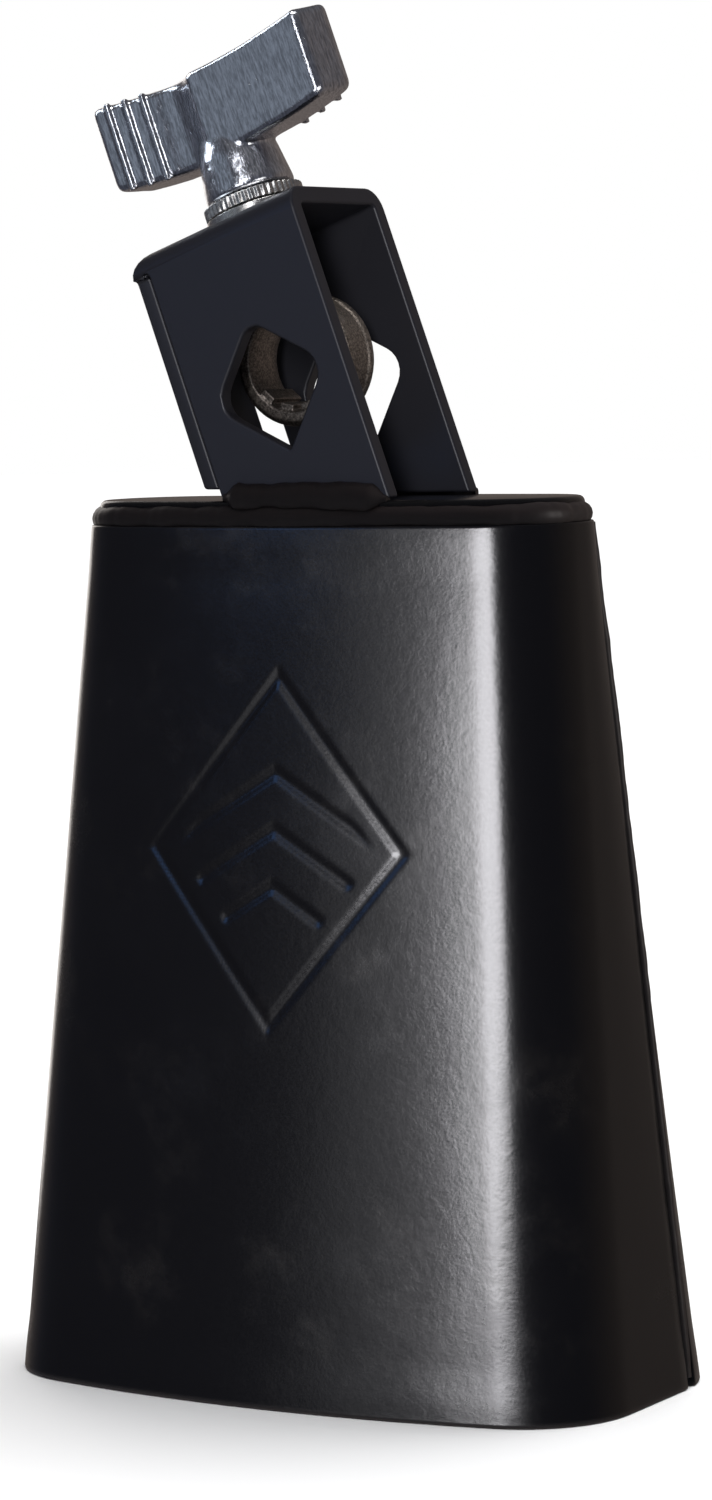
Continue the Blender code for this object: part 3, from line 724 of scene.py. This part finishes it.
def weld_bead(name, path, closed, radius, lumps, taper=0.0):
    """A bead laid along a path: a tube whose radius ripples and whose course wanders a little. lumps says how
    much it wanders, and taper how much its ends thin out."""
    looks = bpy.context.scene.cowbell_weld
    sizes = {"Radius": radius, "Taper": taper, "Ripple": looks.ripple, "Ripple pitch": looks.ripple_pitch,
             "Lump": looks.lump * lumps, "Seed": looks.seed, "Finish": weld_coat()}
    graph = geometry_tree(name + "_bead", sizes)
    inputs = graph.node("NodeGroupInput")
    rail = graph.node("GeometryNodeMeshToCurve", {}, {"Mesh": inputs.output("Geometry")})
    fine = graph.node("GeometryNodeResampleCurve", {"mode": "LENGTH"}, {"Curve": rail, "Length": 0.25 * MM})
    along = graph.node("GeometryNodeSplineParameter", output="Length")
    ripple = (along * (2 * math.pi) / inputs.output("Ripple pitch")).sine() * inputs.output("Ripple") + 1.0
    swell = graph.node("ShaderNodeTexNoise", {"noise_dimensions": "4D"},
                       {"W": inputs.output("Seed") * 7.3, "Scale": 1.0 / SWELL_LENGTH, "Detail": 1.0,
                        "Vector": graph.node("GeometryNodeInputPosition")})
    share_along = graph.node("GeometryNodeSplineParameter")
    tip = share_along.fade(0.0, 0.1, 0.75, 0.0) + share_along.fade(0.9, 1.0, 0.0, 0.75)
    scale = ripple * swell.fade(0.25, 0.75, 0.86, 1.08) * inputs.output("Radius")
    scale = scale * (1.0 - tip * inputs.output("Taper"))
    tube = graph.node("GeometryNodeCurveToMesh", {}, {
        "Curve": graph.node("GeometryNodeSetCurveRadius", {}, {"Curve": fine, "Radius": 1.0}),
        "Profile Curve": graph.node("GeometryNodeCurvePrimitiveCircle", {}, {"Resolution": 16, "Radius": 1.0}),
        "Scale": scale, "Fill Caps": True})
    place = graph.node("GeometryNodeInputPosition")
    wander = graph.node("ShaderNodeTexNoise", {"noise_dimensions": "4D"},
                        {"W": inputs.output("Seed") + 0.5, "Scale": 1.0 / WANDER_LENGTH, "Detail": 1.0,
                         "Vector": place}, output=1)
    centred = graph.node("ShaderNodeVectorMath", {"operation": "SUBTRACT"}, {0: wander, 1: (0.5, 0.5, 0.5)})
    push = graph.node("ShaderNodeVectorMath", {"operation": "SCALE"},
                      {"Vector": centred, "Scale": inputs.output("Lump") * 2.0})
    lumpy = graph.node("GeometryNodeSetPosition", {}, {"Geometry": tube, "Offset": push})
    count = len(path)
    edges = [(i, i + 1) for i in range(count - 1)] + ([(count - 1, 0)] if closed else [])
    made = grow(name, path, edges, graph, lumpy, sizes)
    smooth(made, 60)
    return made


class COWBELL_OT_welds(bpy.types.Operator):
    """Lays the beads round the lid, down both seams and along both feet of the bracket"""

    bl_idname = "cowbell.welds"
    bl_label = "Weld beads"

    def execute(self, context):
        ring = Outline(between(MOUTH, TOP, LID_BEAD_LEVEL / BELL_HEIGHT))
        path = ring.front(LID_BEAD_INSET, 0.0, 12, 8, 10, 6) + ring.rear(LID_BEAD_INSET, 0.0, 14, 16)[1:-1]
        path = [(x, y, LID_BEAD_LEVEL) for x, y in path]
        hand_over(weld_bead("lid_bead", path, True, LID_BEAD_RADIUS, 0.5), "bell", "weld_coat", "cap_weld")
        for label, sign in (("left", -1.0), ("right", 1.0)):
            path = []
            for z in spread(1.4 * MM, WALL_TOP - 0.4 * MM, 40):
                part = Outline(between(MOUTH, TOP, z / BELL_HEIGHT))
                x, y = part.side_point(part.seam_place(), SEAM_BEAD_INSET)
                path.append((sign * x, y, z))
            bead = weld_bead("seam_bead_" + label, path, False, SEAM_BEAD_RADIUS, 0.25)
            hand_over(bead, "bell", "weld_coat", "seam_weld_" + label)
        for label, sign in (("front", -1.0), ("rear", 1.0)):
            low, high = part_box("bracket_weld_" + label)
            path = [(x, sign * (LEG_FACE - 0.1 * MM), BELL_HEIGHT + 0.2 * MM)
                    for x in spread(low.x + 0.4 * MM, high.x - 0.4 * MM, 30)]
            bead = weld_bead("foot_bead_" + label, path, False, FOOT_BEAD_RADIUS, 1.0, 1.0)
            hand_over(bead, "bell", "weld_coat", "bracket_weld_" + label)
        return {"FINISHED"}


class COWBELL_OT_bracket(bpy.types.Operator):
    """Builds the folded bracket with rounded edges"""

    bl_idname = "cowbell.bracket"
    bl_label = "Bracket"

    def execute(self, context):
        made = rounded_copy("clamp_bracket", "bracket", context.scene.cowbell_clamp.bracket_round)
        coat(made, bracket_coat())
        hand_over(made, "bell", "bracket_coat", "clamp_bracket")
        return {"FINISHED"}


def shank_thread():
    """The thread, wound round the shank from above the eye to its end."""
    looks = bpy.context.scene.cowbell_clamp
    sizes = {"Pitch": looks.thread_pitch, "Depth": looks.thread_depth, "Length": THREAD_END - THREAD_START,
             "Radius": SHANK_RADIUS, "Finish": cast_metal()}
    graph = geometry_tree("thread", sizes)
    inputs = graph.node("NodeGroupInput")
    length, pitch, depth = inputs.output("Length"), inputs.output("Pitch"), inputs.output("Depth")
    core = inputs.output("Radius") - depth * 0.3
    helix = graph.node("GeometryNodeCurveSpiral", {}, {
        "Resolution": 40, "Rotations": length / pitch, "Start Radius": core, "End Radius": core, "Height": length})
    crest = graph.node("GeometryNodeCurvePrimitiveCircle", {}, {"Resolution": 4, "Radius": depth})
    ridge = graph.node("GeometryNodeCurveToMesh", {}, {"Curve": helix, "Profile Curve": crest, "Fill Caps": True})
    made = grow("shank_thread", [(0.0, 0.0, 0.0)], [], graph, ridge, sizes)
    made.data.transform(CLAMP @ Matrix.Translation((0.0, 0.0, THREAD_START)))
    smooth(made, 30)
    return made


class COWBELL_OT_eye_bolt(bpy.types.Operator):
    """Builds the cast eye with its grip ridges, and winds the thread round its shank"""

    bl_idname = "cowbell.eye_bolt"
    bl_label = "Eye bolt"

    def execute(self, context):
        made = cast_copy("eye_bolt", "eye", EYE_VOXEL, 3)
        coat(made, cast_metal())
        hand_over(made, "eye", "cast_steel", "eye_bolt")
        hand_over(shank_thread(), "eye", "cast_steel", "eye_bolt")
        return {"FINISHED"}


class COWBELL_OT_washers(bpy.types.Operator):
    """Builds the flat washer and the toothed washer"""

    bl_idname = "cowbell.washers"
    bl_label = "Washers"

    def execute(self, context):
        for node, body in (("flat_washer", "bell"), ("lock_washer", "nut")):
            made = rounded_copy(node, node + "_ring", 0.12 * MM, 40.0, 2)
            coat(made, washer_plate())
            hand_over(made, body, "plated_washer", node)
        return {"FINISHED"}


class COWBELL_OT_wing_nut(bpy.types.Operator):
    """Builds the die-cast wing nut with softened edges"""

    bl_idname = "cowbell.wing_nut"
    bl_label = "Wing nut"

    def execute(self, context):
        made = cast_copy("wing_nut", "wings", WINGS_VOXEL, 50, WINGS_CRISP)
        coat(made, chrome_plate())
        hand_over(made, "nut", "chrome", "wing_nut")
        return {"FINISHED"}


def soft_box(name, aim, bearing, lift, distance, width, height, strength, tint, lit=None, roll=0.0):
    """A soft light on a sphere round the aim. bearing is counted from the front towards the right. A light with
    a list of lit pieces shines on them alone."""
    bearing, lift = math.radians(bearing), math.radians(lift)
    away = Vector((math.sin(bearing) * math.cos(lift), -math.cos(bearing) * math.cos(lift), math.sin(lift)))
    lamp = bpy.data.lights.new(name, "AREA")
    lamp.shape = "RECTANGLE"
    lamp.size = width
    lamp.size_y = height
    lamp.energy = strength * width * height * math.pi
    lamp.color = tint
    made = bpy.data.objects.new(name, lamp)
    turned = away.to_track_quat("Z", "Y").to_matrix().to_4x4() @ Matrix.Rotation(math.radians(roll), 4, "Z")
    made.matrix_world = Matrix.Translation(Vector(aim) + away * distance) @ turned
    bpy.context.scene.collection.objects.link(made)
    if lit:
        made.light_linking.receiver_collection = bpy.data.collections.new("lit_by_" + name)
        for piece in lit:
            made.light_linking.receiver_collection.objects.link(bpy.data.objects[piece])


def lay_floor(looks):
    """A pale round floor that doesn't show in the black coat."""
    bm = bmesh.new()
    bmesh.ops.create_circle(bm, cap_ends=True, segments=96, radius=6.0)
    mesh = bpy.data.meshes.new("floor")
    bm.to_mesh(mesh)
    bm.free()
    floor = bpy.data.objects.new("floor", mesh)
    floor.location.z = -0.0001
    bpy.context.scene.collection.objects.link(floor)

    def pale(graph, place):
        cloud = graph.noise(place, 0.05, 2.0)
        shade = graph.mix(cloud, tone(looks.floor, 0.98), tone(looks.floor))
        return {"Base Color": shade, "Roughness": 0.55, "Specular IOR Level": 0.2}

    coat(floor, finish("pale_floor", pale))
    floor.visible_glossy = False


def light_room():
    """A world that is white to the camera, and dim where the pieces reflect it."""
    world = bpy.data.worlds.new("studio")
    world.use_nodes = True
    bpy.context.scene.world = world
    graph = Graph(world.node_tree)
    backdrop = world.node_tree.nodes["Background"]
    way = graph.split(graph.node("ShaderNodeTexCoord", {}, {}, output="Generated"))
    behind = way.output("Y").fade(-0.15, 0.65)
    over = way.output("Z").fade(0.3, 0.9)
    room = graph.mix(behind, tone(ROOM_FRONT), tone(ROOM_BEHIND))
    room = graph.mix(over, room, tone(ROOM_OVER))
    seen = graph.node("ShaderNodeLightPath", {}, {}, output="Is Camera Ray")
    world.node_tree.links.new(graph.mix(seen, room, (1.0, 1.0, 1.0, 1.0)).socket, backdrop.inputs["Color"])


def hang_lights(looks):
    """The soft lights, most of which shine on a few pieces alone, and the light from overhead."""
    aim = (0.0, 0.0, 0.07)
    high = (0.0, 0.0, 0.16)
    walls = ["front_wall", "rear_wall"]
    bright = ["wings", "lock_washer_ring", "flat_washer_ring", "eye", "shank_thread"]
    beads = [o.name for o in bpy.context.scene.objects if "bead" in o.name]
    soft_box("key", aim, 4.5, 7, 1.0, 0.46, 0.33, looks.key, (0.97, 0.96, 1.0), walls, 22)
    soft_box("key_skirt", aim, -18, 6, 1.05, 0.24, 0.5, looks.key * 0.025, (0.95, 0.96, 1.0), walls)
    soft_box("clamp_key", aim, 12, 16, 1.0, 0.2, 0.8, looks.clamp_key, (0.96, 0.97, 1.0), bright)
    soft_box("clamp_front", aim, -36, 12, 1.0, 0.7, 0.8, looks.clamp_key * 0.032, (0.75, 0.88, 1.0), bright)
    soft_box("edge_glint", high, 24, 6, 1.0, 0.12, 0.4, looks.clamp_key * 9.0, (0.97, 0.97, 1.0), ["bracket"])
    soft_box("bead_glint", aim, 105, 10, 1.0, 0.1, 0.6, looks.clamp_key * 2.0, (1.0, 0.97, 0.94), beads)
    soft_box("clamp_left", aim, -76, 30, 1.0, 0.16, 0.6, looks.clamp_key * 1.7, (0.85, 0.93, 1.0), bright)
    soft_box("clamp_top", aim, 20, 68, 0.9, 0.5, 0.16, looks.clamp_key * 2.6, (1.0, 0.99, 0.97), bright)
    soft_box("clamp_right", high, 64, 0, 1.0, 0.22, 0.6, looks.clamp_key * 0.9, (1.0, 0.97, 0.94), bright)
    soft_box("blue_fill", aim, -33, 20, 1.1, 0.26, 0.26, 2.6, (0.18, 0.42, 1.0), walls + ["bracket"])
    soft_box("left_rim", aim, -128, 12, 1.1, 0.35, 0.9, 1.6, (1.0, 0.95, 0.9))
    lamp = bpy.data.lights.new("sky", "SUN")
    lamp.energy = looks.sky
    lamp.angle = math.radians(50)
    sky = bpy.data.objects.new("sky", lamp)
    sky.rotation_euler = (math.radians(-12), math.radians(6), 0.0)
    sky.visible_glossy = False
    bpy.context.scene.collection.objects.link(sky)


def set_camera():
    lens = bpy.data.cameras.new("camera")
    lens.lens = CAMERA_LENS
    lens.sensor_width = 36.0
    lens.shift_x, lens.shift_y = CAMERA_SHIFT
    lens.clip_start = 0.01
    camera = bpy.data.objects.new("camera", lens)
    back = Vector((math.sin(CAMERA_TURN) * math.cos(CAMERA_RISE), -math.cos(CAMERA_TURN) * math.cos(CAMERA_RISE),
                   math.sin(CAMERA_RISE)))
    level = Vector((math.cos(CAMERA_TURN), math.sin(CAMERA_TURN), 0.0))
    upright = back.cross(level)
    right = level * math.cos(CAMERA_ROLL) + upright * math.sin(CAMERA_ROLL)
    up = upright * math.cos(CAMERA_ROLL) - level * math.sin(CAMERA_ROLL)
    turned = Matrix((right, up, back)).transposed().to_4x4()
    camera.matrix_world = Matrix.Translation(CAMERA_PLACE) @ turned
    bpy.context.scene.collection.objects.link(camera)
    bpy.context.scene.camera = camera


class COWBELL_OT_stage(bpy.types.Operator):
    """Adds the floor, the studio lights and the camera"""

    bl_idname = "cowbell.stage"
    bl_label = "Stage"

    def execute(self, context):
        looks = context.scene.cowbell_stage
        lay_floor(looks)
        light_room()
        hang_lights(looks)
        set_camera()
        context.scene.view_settings.view_transform = "Standard"
        return {"FINISHED"}


STEPS = ("front_wall", "rear_wall", "lid", "welds", "bracket", "eye_bolt", "washers", "wing_nut", "stage")
GROUPS = {"cowbell_shell": ShellSettings, "cowbell_weld": WeldSettings, "cowbell_clamp": ClampSettings,
          "cowbell_stage": StageSettings}


class COWBELL_PT_sidebar(bpy.types.Panel):
    """Lists the cowbell's sizes, colours and build steps"""

    bl_idname = "COWBELL_PT_sidebar"
    bl_label = "Cowbell"
    bl_space_type = "VIEW_3D"
    bl_region_type = "UI"
    bl_category = "Cowbell"

    def draw(self, context):
        for name, group in GROUPS.items():
            box = self.layout.box()
            for label in group.__annotations__:
                box.prop(getattr(context.scene, name), label)
        for step in STEPS:
            self.layout.operator("cowbell." + step)


CLASSES = (ShellSettings, WeldSettings, ClampSettings, StageSettings, COWBELL_OT_front_wall, COWBELL_OT_rear_wall,
           COWBELL_OT_lid, COWBELL_OT_welds, COWBELL_OT_bracket, COWBELL_OT_eye_bolt, COWBELL_OT_washers,
           COWBELL_OT_wing_nut, COWBELL_OT_stage, COWBELL_PT_sidebar)


def register():
    for kind in CLASSES:
        bpy.utils.register_class(kind)
    for name, group in GROUPS.items():
        setattr(bpy.types.Scene, name, PointerProperty(type=group))


def unregister():
    for name in GROUPS:
        delattr(bpy.types.Scene, name)
    for kind in reversed(CLASSES):
        bpy.utils.unregister_class(kind)


def main():
    register()
    for step in STEPS:
        getattr(bpy.ops.cowbell, step)()


if __name__ == "__main__":
    main()
